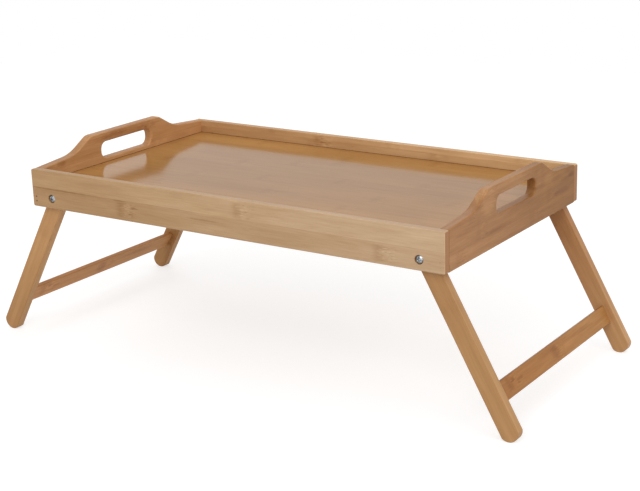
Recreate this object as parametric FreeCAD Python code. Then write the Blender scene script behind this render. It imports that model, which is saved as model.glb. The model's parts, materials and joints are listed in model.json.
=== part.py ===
import FreeCAD, Part
import math
import os

# Bed tray table of bamboo: a shallow tray on two pairs of folding legs.
#
# Units are millimetres.  +X runs along the tray to its right end, +Y to its back, +Z up.
# The origin is on the floor, under the middle of the tray, with both leg pairs opened out.
# Pieces that repeat are made once, for the front right corner, and mirrored to the others.

V = FreeCAD.Vector
UP = V(0, 0, 1)

# ---- tray -------------------------------------------------------------------------------
TRAY_LENGTH = 500.0          # end to end, over the end boards
TRAY_WIDTH = 284.0           # front to back, over the long rails
RAIL_HEIGHT = 40.2
RAIL_THICKNESS = 8.0
RAIL_CORNER = 2.0            # rounding of a rail's four corners, seen from the front
END_THICKNESS = 10.0
EDGE_ROUND = 0.8             # sanded edge of every board, rail and leg

PANEL_THICKNESS = 4.0
PANEL_RISE = 22.0            # underside of the panel above the bottom of the rails
GROOVE_DEPTH = 4.0
PANEL_END_PLAY = 0.5         # room left for the panel at the bottom of its grooves
GROOVE_PLAY = 0.3            # groove height over the panel's thickness

# ---- raised handle on each end board ----------------------------------------------------
HANDLE_RISE = 19.4           # top of the handle above the top of the rails
HANDLE_FLAT = 108.0          # straight top of the handle
SHOULDER_RADIUS = 14.0       # convex bend beside the straight top
SHOULDER_SLOPE = 30.0        # degrees
SWEEP_RADIUS = 50.0          # concave bend below the shoulder
LEAD_SLOPE = 4.5             # degrees, the long gentle rise from the corner of the tray
SLOT_LENGTH = 83.5
SLOT_HEIGHT = 18.1
SLOT_RISE = 30.7             # bottom of the hand slot above the bottom of the rails
SLOT_CORNER = 8.0
GRIP_ROUND = 1.6             # rounding of the handle's top and of the slot's rims

# ---- legs -------------------------------------------------------------------------------
LEG_WIDTH = 19.0
LEG_THICKNESS = 10.0
LEG_REACH = 185.5            # from the pivot to the tip of the foot
FOOT_ARC = 10.2              # radius of the rounded foot
PIVOT_INSET = 26.8           # pivot from the end of the tray
PIVOT_RISE = 10.5            # pivot above the bottom of the rails
STOP_GAP = 0.3               # between an opened leg and the end board that stops it

STRETCHER_WIDTH = 19.3       # along the legs
STRETCHER_THICKNESS = 5.0
STRETCHER_DROP = 142.0       # from the pivot to the middle of the stretcher
TENON_LENGTH = 6.0
JOINT_CLEARANCE = 0.05       # round a tenon, a nail or a panel edge in its seat

# ---- pivot hardware ---------------------------------------------------------------------
BOLT_RADIUS = 2.0
BOLT_TIP = 1.2               # thread showing past the nut
HEAD_RADIUS = 4.0
HEAD_RIM = 1.0               # straight side of the domed head
HEAD_HEIGHT = 2.5
RECESS_CLEARANCE = 0.6       # between the head and the wall of its recess
RECESS_DEPTH = 2.3
DRIVE_SPAN = 4.4             # cross recess, tip to tip
DRIVE_WIDTH = 0.9
DRIVE_DEPTH = 1.4
RUNNING_CLEARANCE = 0.1      # round the bolt, and beside the leg that turns on it
WASHER_RADIUS = 4.5
WASHER_THICKNESS = 0.8
NUT_FLATS = 7.0
NUT_HEIGHT = 3.2
NUT_COLLAR_RADIUS = 3.1
NUT_COLLAR_HEIGHT = 1.6

# ---- nails through the rails into the end boards ----------------------------------------
NAIL_RADIUS = 0.6
NAIL_HEAD_RADIUS = 0.9
NAIL_HEAD_DEPTH = 1.0
NAIL_LENGTH = 26.0
NAIL_RISES = (6.0, 10.8)     # above the bottom of the rails

# ---- places that follow from the sizes above --------------------------------------------
HALF_LENGTH = TRAY_LENGTH / 2
HALF_WIDTH = TRAY_WIDTH / 2
RAIL_INNER = HALF_WIDTH - RAIL_THICKNESS
END_INNER = HALF_LENGTH - END_THICKNESS
PIVOT_X = HALF_LENGTH - PIVOT_INSET
LEG_OUTER = RAIL_INNER - WASHER_THICKNESS - RUNNING_CLEARANCE
LEG_INNER = LEG_OUTER - LEG_THICKNESS
INNER_WASHER = LEG_INNER - RUNNING_CLEARANCE
NUT_FACE = INNER_WASHER - WASHER_THICKNESS


def stop_angle():
    """Splay, in degrees, at which a leg's outer side meets the end board's lower inner edge.

    The edge is sanded round, so the side of the leg stops one edge radius and one stop gap
    short of the middle of that rounding, measured square to the leg.
    """
    across = PIVOT_INSET - END_THICKNESS + EDGE_ROUND
    above = PIVOT_RISE - EDGE_ROUND
    square_off = LEG_WIDTH / 2 + STOP_GAP + EDGE_ROUND
    return math.degrees(math.acos(square_off / math.hypot(across, above)) - math.atan2(above, across))


SPLAY = stop_angle()
PIVOT_Z = (LEG_REACH - FOOT_ARC) * math.cos(math.radians(SPLAY)) + FOOT_ARC
RAIL_BOTTOM = PIVOT_Z - PIVOT_RISE
RAIL_TOP = RAIL_BOTTOM + RAIL_HEIGHT
PANEL_BOTTOM = RAIL_BOTTOM + PANEL_RISE

CORNERS = {"front_left": (-1, -1), "back_left": (-1, 1), "front_right": (1, -1), "back_right": (1, 1)}


# ---- shared helpers ---------------------------------------------------------------------
def box(low, high):
    """Box between two opposite corners."""
    size = V(*high) - V(*low)
    return Part.makeBox(size.x, size.y, size.z, V(*low))


def mirror_x(shape):
    """The same shape on the other end of the tray."""
    return shape.mirror(V(0, 0, 0), V(1, 0, 0))


def mirror_y(shape):
    """The same shape on the other side of the tray."""
    return shape.mirror(V(0, 0, 0), V(0, 1, 0))


def at_corner(shape, side_x, side_y):
    """Copy of a piece made for the front right corner, moved to the given corner."""
    if side_x < 0:
        shape = mirror_x(shape)
    if side_y > 0:
        shape = mirror_y(shape)
    return shape


def arc_edge(centre, radius, start, end, point):
    """Arc from start to end, in degrees; point(u, v) places the flat coordinates in space."""
    angles = [math.radians(a) for a in (start, (start + end) / 2, end)]
    dots = [point(centre[0] + radius * math.cos(a), centre[1] + radius * math.sin(a)) for a in angles]
    return Part.Arc(*dots).toShape()


def rounded_face(u_low, v_low, u_high, v_high, radius, point):
    """Rectangle with round corners as a face."""
    corners = [(u_high - radius, v_high - radius, 0), (u_low + radius, v_high - radius, 90),
               (u_low + radius, v_low + radius, 180), (u_high - radius, v_low + radius, 270)]
    arcs = [arc_edge((u, v), radius, turn, turn + 90, point) for u, v, turn in corners]
    edges = []
    for arc, following in zip(arcs, arcs[1:] + arcs[:1]):
        edges.append(arc)
        start = arc.valueAt(arc.LastParameter)
        end = following.valueAt(following.FirstParameter)
        if start.distanceToPoint(end) > 1e-6:
            edges.append(Part.LineSegment(start, end).toShape())
    return Part.Face(Part.Wire(edges))


def round_edges(shape, radius, keep):
    """Fillet the edges whose middle point passes the test keep(point)."""
    chosen = []
    for edge in shape.Edges:
        middle = edge.valueAt((edge.FirstParameter + edge.LastParameter) / 2)
        if keep(middle):
            chosen.append(edge)
    return shape.makeFillet(radius, chosen)


def rod(radius, start, length):
    """Round bar along +Y from a point at (x, y, z)."""
    return Part.makeCylinder(radius, length, V(*start), V(0, 1, 0))


# ---- tray -------------------------------------------------------------------------------
def pivot_hole(radius, y_start, y_end):
    """Round hole on the right pivot axis, along Y."""
    return rod(radius, (PIVOT_X, y_start, PIVOT_Z), y_end - y_start)


def nail_x():
    """Nails enter the middle of the end board's thickness."""
    return HALF_LENGTH - END_THICKNESS / 2


def nail(rise, clearance=0.0):
    """One nail of the front right corner, its head flush with the rail's outer face."""
    start = (nail_x(), -HALF_WIDTH, RAIL_BOTTOM + rise)
    head = rod(NAIL_HEAD_RADIUS + clearance, start, NAIL_HEAD_DEPTH)
    return head.fuse(rod(NAIL_RADIUS + clearance, start, NAIL_LENGTH)).removeSplitter()


def corner_nails(clearance=0.0):
    """The nails of the front right corner."""
    return [nail(rise, clearance) for rise in NAIL_RISES]


def panel_groove():
    """Space of the groove round the inside of the frame, stopped short of the rails' ends."""
    depth = GROOVE_DEPTH
    top = PANEL_BOTTOM + PANEL_THICKNESS + GROOVE_PLAY
    low = (-END_INNER - depth, -RAIL_INNER - depth, PANEL_BOTTOM)
    return box(low, (END_INNER + depth, RAIL_INNER + depth, top))


def front_rail():
    """Long rail with its panel groove, pivot holes, head recesses and nail holes."""
    def point(x, z):
        return V(x, -HALF_WIDTH, z)
    face = rounded_face(-HALF_LENGTH, RAIL_BOTTOM, HALF_LENGTH, RAIL_TOP, RAIL_CORNER, point)
    rail = round_edges(face.extrude(V(0, RAIL_THICKNESS, 0)), EDGE_ROUND, lambda p: True)
    cuts = [panel_groove()]
    recess = HEAD_RADIUS + RECESS_CLEARANCE
    holes = [pivot_hole(BOLT_RADIUS + RUNNING_CLEARANCE, -HALF_WIDTH, -RAIL_INNER),
             pivot_hole(recess, -HALF_WIDTH, -HALF_WIDTH + RECESS_DEPTH)]
    for tool in holes + corner_nails(JOINT_CLEARANCE):
        cuts += [tool, mirror_x(tool)]
    return rail.cut(cuts)


def handle_side(point):
    """Edges of the end board's top, from the front rail up to the straight top of the handle.

    The gentle rise, the sweep, the straight slope and the shoulder follow each other in
    tangent; the lengths of the two straights are what makes them end at the handle's top.
    """
    lead = math.radians(LEAD_SLOPE)
    slope = math.radians(SHOULDER_SLOPE)
    run = RAIL_INNER - HANDLE_FLAT / 2
    run -= SWEEP_RADIUS * (math.sin(slope) - math.sin(lead)) + SHOULDER_RADIUS * math.sin(slope)
    rise = HANDLE_RISE - SWEEP_RADIUS * (math.cos(lead) - math.cos(slope))
    rise -= SHOULDER_RADIUS * (1 - math.cos(slope))
    spread = math.sin(slope - lead)
    lead_length = (run * math.sin(slope) - rise * math.cos(slope)) / spread
    slope_length = (rise * math.cos(lead) - run * math.sin(lead)) / spread

    start = (-RAIL_INNER, RAIL_TOP)
    sweep_start = (start[0] + lead_length * math.cos(lead), start[1] + lead_length * math.sin(lead))
    sweep_centre = (sweep_start[0] - SWEEP_RADIUS * math.sin(lead),
                    sweep_start[1] + SWEEP_RADIUS * math.cos(lead))
    sweep_end = (sweep_centre[0] + SWEEP_RADIUS * math.sin(slope),
                 sweep_centre[1] - SWEEP_RADIUS * math.cos(slope))
    shoulder_start = (sweep_end[0] + slope_length * math.cos(slope),
                      sweep_end[1] + slope_length * math.sin(slope))
    shoulder_centre = (shoulder_start[0] + SHOULDER_RADIUS * math.sin(slope),
                       shoulder_start[1] - SHOULDER_RADIUS * math.cos(slope))
    return [Part.LineSegment(point(*start), point(*sweep_start)).toShape(),
            arc_edge(sweep_centre, SWEEP_RADIUS, LEAD_SLOPE - 90, SHOULDER_SLOPE - 90, point),
            Part.LineSegment(point(*sweep_end), point(*shoulder_start)).toShape(),
            arc_edge(shoulder_centre, SHOULDER_RADIUS, SHOULDER_SLOPE + 90, 90, point)]


def end_board_blank():
    """Right end board with its raised handle, before the slot, groove and holes."""
    def point(y, z):
        return V(END_INNER, y, z)
    front = handle_side(point)
    back = [mirror_y(edge) for edge in front]
    handle_top = RAIL_TOP + HANDLE_RISE
    straights = [((-HANDLE_FLAT / 2, handle_top), (HANDLE_FLAT / 2, handle_top)),
                 ((RAIL_INNER, RAIL_TOP), (RAIL_INNER, RAIL_BOTTOM)),
                 ((RAIL_INNER, RAIL_BOTTOM), (-RAIL_INNER, RAIL_BOTTOM)),
                 ((-RAIL_INNER, RAIL_BOTTOM), (-RAIL_INNER, RAIL_TOP))]
    edges = front + back
    edges += [Part.LineSegment(point(*a), point(*b)).toShape() for a, b in straights]
    outline = Part.Wire(Part.__sortEdges__(edges))
    return Part.Face(outline).extrude(V(END_THICKNESS, 0, 0))


def hand_slot():
    """Space of the hand slot through the right end board."""
    def point(y, z):
        return V(END_INNER, y, z)
    bottom = RAIL_BOTTOM + SLOT_RISE
    face = rounded_face(-SLOT_LENGTH / 2, bottom, SLOT_LENGTH / 2, bottom + SLOT_HEIGHT, SLOT_CORNER, point)
    return face.extrude(V(END_THICKNESS, 0, 0))


def right_end_board():
    """End board between the rails, with its hand slot, panel groove and nail holes."""
    def on_top(p):
        return p.z > RAIL_BOTTOM + EDGE_ROUND and abs(p.y) < RAIL_INNER - EDGE_ROUND

    def on_bottom(p):
        return p.z < RAIL_BOTTOM + EDGE_ROUND and abs(p.y) < RAIL_INNER - EDGE_ROUND
    board = end_board_blank().cut(hand_slot())
    board = round_edges(board, GRIP_ROUND, lambda p: on_top(p) and flat_on_face(p))
    board = round_edges(board, EDGE_ROUND, on_bottom)
    nails = corner_nails(JOINT_CLEARANCE)
    return board.cut([panel_groove()] + nails + [mirror_y(tool) for tool in nails])


def flat_on_face(p):
    """True for a point on the inner or the outer face of the right end board."""
    return min(abs(p.x - END_INNER), abs(p.x - HALF_LENGTH)) < 1e-6


def tray_panel():
    """Thin panel that floats in the groove."""
    reach = GROOVE_DEPTH - PANEL_END_PLAY
    high = (END_INNER + reach, RAIL_INNER + reach, PANEL_BOTTOM + PANEL_THICKNESS)
    return box((-high[0], -high[1], PANEL_BOTTOM), high)


# ---- legs -------------------------------------------------------------------------------
def splayed(shape):
    """Turn a piece that hangs straight down from the right pivot out to its opened angle."""
    shape.rotate(V(PIVOT_X, 0, PIVOT_Z), V(0, 1, 0), -SPLAY)
    return shape


def stretcher_bar(end, clearance=0.0):
    """Flat bar between the right legs, from -end to end along Y, before it is splayed."""
    half_thick = STRETCHER_THICKNESS / 2 + clearance
    half_wide = STRETCHER_WIDTH / 2 + clearance
    middle = PIVOT_Z - STRETCHER_DROP
    return box((PIVOT_X - half_thick, -end, middle - half_wide),
               (PIVOT_X + half_thick, end, middle + half_wide))


def front_right_leg():
    """Leg with a round top on the pivot and an arched foot, bored and mortised."""
    half = LEG_WIDTH / 2
    foot_z = PIVOT_Z - LEG_REACH + FOOT_ARC
    foot_turn = math.degrees(math.asin(half / FOOT_ARC))
    side_end = foot_z - math.sqrt(FOOT_ARC ** 2 - half ** 2)

    def point(x, z):
        return V(PIVOT_X + x, -LEG_OUTER, z)
    edges = [arc_edge((0, PIVOT_Z), half, 0, 180, point),
             Part.LineSegment(point(-half, PIVOT_Z), point(-half, side_end)).toShape(),
             arc_edge((0, foot_z), FOOT_ARC, 270 - foot_turn, 270 + foot_turn, point),
             Part.LineSegment(point(half, side_end), point(half, PIVOT_Z)).toShape()]
    leg = Part.Face(Part.Wire(edges)).extrude(V(0, LEG_THICKNESS, 0))
    leg = round_edges(leg, EDGE_ROUND, lambda p: True)
    leg = leg.cut(pivot_hole(BOLT_RADIUS + RUNNING_CLEARANCE, -LEG_OUTER, -LEG_INNER))
    mortise_end = LEG_INNER + TENON_LENGTH + JOINT_CLEARANCE
    return splayed(leg.cut(stretcher_bar(mortise_end, JOINT_CLEARANCE)))


def right_stretcher():
    """Flat bar with its two ends let into the legs."""
    bar = stretcher_bar(LEG_INNER + TENON_LENGTH)
    return splayed(round_edges(bar, EDGE_ROUND, lambda p: abs(p.y) < EDGE_ROUND))


# ---- pivot hardware ---------------------------------------------------------------------
def dome(radius, rim, height, seat_y):
    """Domed head on the pivot axis that stands out towards the front from seat_y."""
    crown = height - rim
    ball = (radius ** 2 + crown ** 2) / (2 * crown)
    side = Part.makeCylinder(radius, height, V(PIVOT_X, seat_y, PIVOT_Z), V(0, -1, 0))
    return side.common(Part.makeSphere(ball, V(PIVOT_X, seat_y - height + ball, PIVOT_Z)))


def front_right_bolt():
    """Domed screw with a cross recess, from its sunk head through rail, leg and nut."""
    seat = -HALF_WIDTH + RECESS_DEPTH
    tip = -(NUT_FACE - NUT_HEIGHT - NUT_COLLAR_HEIGHT) + BOLT_TIP
    head = dome(HEAD_RADIUS, HEAD_RIM, HEAD_HEIGHT, seat)
    bolt = head.fuse(pivot_hole(BOLT_RADIUS, seat, tip)).removeSplitter()
    front = seat - HEAD_HEIGHT
    for half_x, half_z in ((DRIVE_SPAN / 2, DRIVE_WIDTH / 2), (DRIVE_WIDTH / 2, DRIVE_SPAN / 2)):
        bolt = bolt.cut(box((PIVOT_X - half_x, front, PIVOT_Z - half_z),
                            (PIVOT_X + half_x, front + DRIVE_DEPTH, PIVOT_Z + half_z)))
    return bolt


def washer(y_start):
    """Plain washer on the pivot axis, its front face at y_start."""
    disc = pivot_hole(WASHER_RADIUS, y_start, y_start + WASHER_THICKNESS)
    return disc.cut(pivot_hole(BOLT_RADIUS + RUNNING_CLEARANCE, y_start, y_start + WASHER_THICKNESS))


def front_right_lock_nut():
    """Hexagon nut with the round collar that holds its locking ring."""
    radius = NUT_FLATS / 2 / math.cos(math.pi / 6)
    turns = [math.radians(60 * i) for i in range(7)]
    dots = [V(PIVOT_X + radius * math.cos(a), -NUT_FACE, PIVOT_Z + radius * math.sin(a)) for a in turns]
    hexagon = Part.Face(Part.makePolygon(dots)).extrude(V(0, NUT_HEIGHT, 0))
    end = -NUT_FACE + NUT_HEIGHT + NUT_COLLAR_HEIGHT
    body = hexagon.fuse(pivot_hole(NUT_COLLAR_RADIUS, -NUT_FACE, end)).removeSplitter()
    return body.cut(pivot_hole(BOLT_RADIUS, -NUT_FACE, end))


# ---- everything by name -----------------------------------------------------------------
def build():
    """All pieces, by node name."""
    rail = front_rail()
    board = right_end_board()
    stretcher = right_stretcher()
    parts = {"front_rail": rail, "back_rail": mirror_y(rail),
             "right_end_board": board, "left_end_board": mirror_x(board),
             "tray_panel": tray_panel(),
             "right_stretcher": stretcher, "left_stretcher": mirror_x(stretcher)}
    at_each_corner = {"leg": front_right_leg(),
                      "pivot_bolt": front_right_bolt(),
                      "spacer_washer": washer(-RAIL_INNER),
                      "inner_washer": washer(-INNER_WASHER),
                      "lock_nut": front_right_lock_nut(),
                      "corner_nails": Part.makeCompound(corner_nails())}
    for corner, sides in CORNERS.items():
        for piece, shape in at_each_corner.items():
            parts[corner + "_" + piece] = at_corner(shape, *sides)
    return parts


os.makedirs("parts", exist_ok=True)
for name, shape in build().items():
    shape.exportStep("parts/" + name + ".step")
    print(name, len(shape.Solids), "solids, valid", shape.isValid(), "volume", round(shape.Volume, 1))
print("splay", round(SPLAY, 3), "pivot z", round(PIVOT_Z, 3), "rail bottom", round(RAIL_BOTTOM, 3))
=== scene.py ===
"""Bed tray table of bamboo on two pairs of folding legs: finishes, hardware, studio, camera.

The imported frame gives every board, leg and fastener its shape and place.  This script turns
the boards into laminated bamboo, swaps the pivot screws, washers and lock nuts for finer
ones, and lights the tray on a pale floor.  Lengths are metres unless a name ends in _mm.
"""
from __future__ import annotations

import json
import logging
import math
from dataclasses import dataclass, replace
from enum import Enum
from typing import Union

import bmesh
import bpy
import numpy as np
from mathutils import Matrix, Vector


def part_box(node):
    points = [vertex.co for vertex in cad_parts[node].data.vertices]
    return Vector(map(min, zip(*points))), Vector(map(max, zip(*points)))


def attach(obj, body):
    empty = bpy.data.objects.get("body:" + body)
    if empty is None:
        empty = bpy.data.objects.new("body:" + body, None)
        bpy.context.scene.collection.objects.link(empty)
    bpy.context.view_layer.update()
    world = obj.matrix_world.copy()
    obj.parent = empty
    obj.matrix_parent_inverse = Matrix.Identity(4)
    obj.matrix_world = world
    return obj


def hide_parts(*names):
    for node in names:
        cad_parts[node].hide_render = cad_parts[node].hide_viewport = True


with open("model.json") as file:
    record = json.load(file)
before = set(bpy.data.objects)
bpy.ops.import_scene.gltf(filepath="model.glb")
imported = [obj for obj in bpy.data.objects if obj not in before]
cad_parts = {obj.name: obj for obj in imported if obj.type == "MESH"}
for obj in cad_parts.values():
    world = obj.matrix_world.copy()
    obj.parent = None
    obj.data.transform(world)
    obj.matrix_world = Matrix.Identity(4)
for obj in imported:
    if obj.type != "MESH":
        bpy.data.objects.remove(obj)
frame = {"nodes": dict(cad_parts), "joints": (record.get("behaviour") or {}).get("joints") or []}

log = logging.getLogger("bed_tray_table")
logging.basicConfig(level=logging.INFO, format="%(name)s: %(message)s")

MM = 0.001
CORNERS = ("front_left", "back_left", "front_right", "back_right")
Colour = tuple[float, float, float]
Point = tuple[float, float, float]
Number = Union[float, "Term"]
Key = Union[str, int]


def paint(red: int, green: int, blue: int) -> Colour:
    """Linear colour of an sRGB colour written 0 to 255.

    Args:
        red, green, blue: the colour as it is meant to look on a screen.

    Returns:
        The same colour in linear light: c/12.92 below 0.04045, else ((c+0.055)/1.055)^2.4.
    """
    c = np.array([red, green, blue]) / 255.0
    return tuple(float(v) for v in np.where(c < 0.04045, c / 12.92, ((c + 0.055) / 1.055) ** 2.4))


# ---------- Shader maths as expressions ----------
class Term:
    """A value in a material: wraps a node's output, and adds Math nodes when it is used."""

    def __init__(self, graph: "Graph", socket: bpy.types.NodeSocket) -> None:
        """Keeps the graph that new nodes go into and the socket that carries the value."""
        self.graph, self.socket = graph, socket

    def _do(self, operation: str, *values: Number) -> "Term":
        """Adds one Math node over the given values."""
        return self.graph.node("ShaderNodeMath", {"operation": operation}, dict(enumerate(values)))

    def __add__(self, other: Number) -> "Term":
        """self + other."""
        return self._do("ADD", self, other)

    __radd__ = __add__

    def __mul__(self, other: Number) -> "Term":
        """self * other."""
        return self._do("MULTIPLY", self, other)

    __rmul__ = __mul__

    def __sub__(self, other: Number) -> "Term":
        """self - other."""
        return self._do("SUBTRACT", self, other)

    def __rsub__(self, other: Number) -> "Term":
        """other - self."""
        return self._do("SUBTRACT", other, self)

    def __truediv__(self, other: Number) -> "Term":
        """self / other."""
        return self._do("DIVIDE", self, other)

    def __rtruediv__(self, other: Number) -> "Term":
        """other / self."""
        return self._do("DIVIDE", other, self)

    def __pow__(self, other: Number) -> "Term":
        """self to the power of other."""
        return self._do("POWER", self, other)

    def __abs__(self) -> "Term":
        """Size without its sign."""
        return self._do("ABSOLUTE", self)

    def floor(self) -> "Term":
        """Whole part, rounded down."""
        return self._do("FLOOR", self)

    def fract(self) -> "Term":
        """What is left above the whole part."""
        return self._do("FRACT", self)

    def least(self, other: Number) -> "Term":
        """The smaller of two values."""
        return self._do("MINIMUM", self, other)

    def most(self, other: Number) -> "Term":
        """The larger of two values."""
        return self._do("MAXIMUM", self, other)

    def bell(self, width: float) -> "Term":
        """Soft bump exp(-(x/width)^2), which is 1 at zero."""
        return self._do("EXPONENT", (self * (1 / width)) ** 2 * -1.0)

    def ease(self, start: float, end: float, low: float = 0.0, high: float = 1.0) -> "Term":
        """Smooth step from low, where the value is start, to high, where it is end."""
        return self.graph.node("ShaderNodeMapRange", {"interpolation_type": "SMOOTHSTEP"},
                               {0: self, 1: start, 2: end, 3: low, 4: high})


Paint = Union[Term, Colour]

# What grain, rings, seam dirt, and painted light and shade multiply the bamboo's colour by.
PALE, DUSK = (1.17, 1.22, 1.30), (0.84, 0.78, 0.70)
FIBRE, RING = (0.76, 0.68, 0.58), (0.66, 0.54, 0.43)
# The colour of the seam lines: dirt, and painted contact shade where boards meet.
SEAM_DIRT_AND_SHADE = (0.44, 0.32, 0.22)
# How far the grain sways and a ring strays from straight.
SWAY_MM, STRAY_MM = 4.0, 7.0
# A growth ring: the middle and width of the dusk before it, the width of its line, where its
# dashes begin and fade past it, and the length of a mark whose ring isn't stretched.
RING_DUSK_MM, RING_LINE_MM = 4.5, 1.2
DASHES_FROM_MM, DASHES_TO_MM = (-2.0, 2.0), (6.0, 22.0)
RING_LONG_MM = 9.0
# How deep the grain and a fastener's surface are, in metres.
GRAIN_RELIEF, FINE_RELIEF = 0.00006, 0.00001
# The step in tone from one strip to the next, in turns of the tone's cycle.
TONE_STEP = 0.618


class Graph:
    """Builds one node tree from expressions."""

    def __init__(self, tree: bpy.types.NodeTree) -> None:
        """Empties the tree that is going to be built."""
        self.tree = tree
        tree.nodes.clear()

    def node(self, kind: str, settings: dict[str, str],
             sockets: dict[Key, Union[Number, Colour]], out: Key = 0) -> Term:
        """Adds a node of any type.

        Args:
            kind: Blender's name of the node type.
            settings: properties to set first, such as a Math node's operation.
            sockets: values, colours or terms for the inputs, by name or number.
            out: the output that the returned term stands for.

        Returns:
            The chosen output as a term.
        """
        made = self.tree.nodes.new(kind)
        for name, value in settings.items():
            setattr(made, name, value)
        for name, value in sockets.items():
            socket = made.inputs[name]
            if isinstance(value, Term):
                self.tree.links.new(value.socket, socket)
            else:
                socket.default_value = (*value, 1.0) if socket.type == "RGBA" else value
        return Term(self, made.outputs[out])

    def split(self, vector: Term) -> tuple[Term, Term, Term]:
        """The three parts of a vector."""
        outputs = self.node("ShaderNodeSeparateXYZ", {}, {0: vector}).socket.node.outputs
        return tuple(Term(self, outputs[i]) for i in range(3))

    def join(self, x: Number, y: Number, z: Number) -> Term:
        """A vector of three values."""
        return self.node("ShaderNodeCombineXYZ", {}, {0: x, 1: y, 2: z})

    def noise(self, place: Term, seed: float, detail: float = 2.0, roughness: float = 0.5) -> Term:
        """Fractal noise of 0 to 1 about 0.5.

        Args:
            place: where it is read, with one feature per unit.
            seed: what sets this noise apart.
            detail: how many finer layers lie on it.
            roughness: how strong the finer layers are.

        Returns:
            The noise.
        """
        return self.node("ShaderNodeTexNoise", {"noise_dimensions": "4D"},
                         {"Vector": place, "W": seed, "Scale": 1.0, "Detail": detail,
                          "Roughness": roughness})

    def chance(self, value: Term, seed: float) -> Term:
        """A random number of 0 to 1 that depends on value alone."""
        return self.node("ShaderNodeTexWhiteNoise", {"noise_dimensions": "2D"},
                         {"Vector": self.join(value, seed, 0.0)})

    def dots(self, place: Term) -> Term:
        """Distance from the nearest of a scatter of points, one per unit cell."""
        return self.node("ShaderNodeTexVoronoi", {"feature": "F1"},
                         {"Vector": place, "Scale": 1.0})

    def blend(self, factor: Number, under: Paint, over: Paint, kind: str = "MIX") -> Term:
        """Mixes two colours.

        Args:
            factor: how much the upper colour counts, 0 to 1.
            under, over: the two colours.
            kind: Blender's name of the way they mix.

        Returns:
            The mixed colour.
        """
        return self.node("ShaderNodeMix", {"data_type": "RGBA", "blend_type": kind},
                         {0: factor, 6: under, 7: over}, out=2)

    def tint(self, factor: Number, colour: Paint, by: Colour) -> Term:
        """Multiplies a colour by another, as far as the factor says."""
        return self.blend(factor, colour, by, "MULTIPLY")

    def shade(self, amount: Term, colour: Paint) -> Term:
        """Makes a colour paler where amount is above 0, and duskier where it is below."""
        paler = self.tint(amount.most(0.0).least(1.0), colour, PALE)
        return self.tint((amount * -1.0).most(0.0).least(1.0), paler, DUSK)

    def bump(self, height: Term, depth: float, strength: float) -> Term:
        """A normal tilted by a height map whose unit is depth metres."""
        return self.node("ShaderNodeBump", {}, {"Height": height, "Distance": depth,
                                                "Strength": strength}, out="Normal")

    def finish(self, shader: Term, kind: str = "ShaderNodeOutputMaterial") -> None:
        """Leads a shader into a new output node."""
        self.tree.links.new(shader.socket, self.tree.nodes.new(kind).inputs["Surface"])


def new_material(name: str) -> tuple[bpy.types.Material, Graph]:
    """Makes a material.

    Args:
        name: the material's name.

    Returns:
        The material and its graph, which is empty.
    """
    material = bpy.data.materials.new(name)
    material.use_nodes = True
    return material, Graph(material.node_tree)


# ---------- Finishes ----------
class Lie(Enum):
    """How a board lies: which axes run along its grain, across its width, through it.

    A stretcher lies as an end board does.
    """

    RAIL = (0, 2, 1)
    END_BOARD = (1, 2, 0)
    PANEL = (0, 1, 2)
    LEG = (2, 0, 1)
    STRETCHER = (1, 2, 0)


@dataclass(frozen=True)
class Bed:
    """Where a board's own pattern starts: a turn about Y, then a centre, in millimetres."""

    lie: Lie
    centre_mm: Point = (0.0, 0.0, 0.0)
    turn: float = 0.0

    def place(self, graph: Graph) -> tuple[Term, Term, Term]:
        """Millimetres along the grain, across the width and through the thickness."""
        centre = Matrix.Rotation(self.turn, 3, "Y") @ Vector(self.centre_mm)
        return self._parts(graph, "Object", "POINT",
                           {"Scale": (1 / MM,) * 3, "Location": tuple(-centre)})

    def facing(self, graph: Graph) -> tuple[Term, Term, Term]:
        """How far a face looks along the grain, across the width and through the board."""
        return self._parts(graph, "Normal", "VECTOR", {})

    def _parts(self, graph: Graph, read: str, kind: str,
               sockets: dict[str, Point]) -> tuple[Term, Term, Term]:
        """Turns a coordinate into the board's own directions.

        Args:
            graph: the board's graph.
            read: the output of Texture Coordinate that is read.
            kind: what the Mapping node takes it for.
            sockets: more sockets of the Mapping node.

        Returns:
            The parts along, across and through the board.
        """
        source = graph.node("ShaderNodeTexCoord", {}, {}, out=read)
        turned = graph.node("ShaderNodeMapping", {"vector_type": kind},
                            {"Vector": source, "Rotation": (0.0, self.turn, 0.0), **sockets})
        parts = graph.split(turned)
        return tuple(parts[i] for i in self.lie.value)


@dataclass(frozen=True)
class Pattern:
    """Noise, and its features per unit of length in three directions.

    The unit is a millimetre on boards and a metre on fasteners.
    """

    along: float
    across: float
    through: float
    shift: float
    detail: float = 2.0
    roughness: float = 0.5

    def read(self, g: Graph, place: tuple[Term, Term, Term], seed: float) -> Term:
        """Reads the noise.

        Args:
            g: the graph of the material.
            place: along, across and through the piece.
            seed: what sets the piece apart.

        Returns:
            The noise, 0 to 1 about 0.5.
        """
        along, across, through = place
        scaled = g.join(along * self.along, across * self.across, through * self.through)
        return g.noise(scaled, seed + self.shift, self.detail, self.roughness)


CLOUD = Pattern(0.010, 0.04, 0.05, 8.0)
BROAD = Pattern(0.016, 0.22, 0.25, 1.0, detail=3.0)
FINE = Pattern(0.040, 0.9, 0.9, 2.0, detail=3.0, roughness=0.6)
DASH = Pattern(0.075, 1.1, 1.1, 3.0)
COMB = Pattern(0.16, 0.95, 0.95, 5.0)
ZINC_CLOUD = Pattern(400.0, 400.0, 400.0, 0.0, detail=4.0, roughness=0.6)
ZINC_SCRATCH = Pattern(9000.0, 700.0, 1400.0, 1.0)
NYLON_CLOUD = Pattern(900.0, 900.0, 900.0, 0.0, detail=3.0)


class MarkKind(Enum):
    """What a mark on a board is."""

    STAIN = "dark spot"
    BLOOM = "pale spot"
    RING = "growth ring"


@dataclass(frozen=True)
class Mark:
    """A soft blemish on a board, at a place along and across it."""

    along_mm: float
    across_mm: float
    long_mm: float
    wide_mm: float
    strength: float
    kind: MarkKind = MarkKind.STAIN


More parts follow.
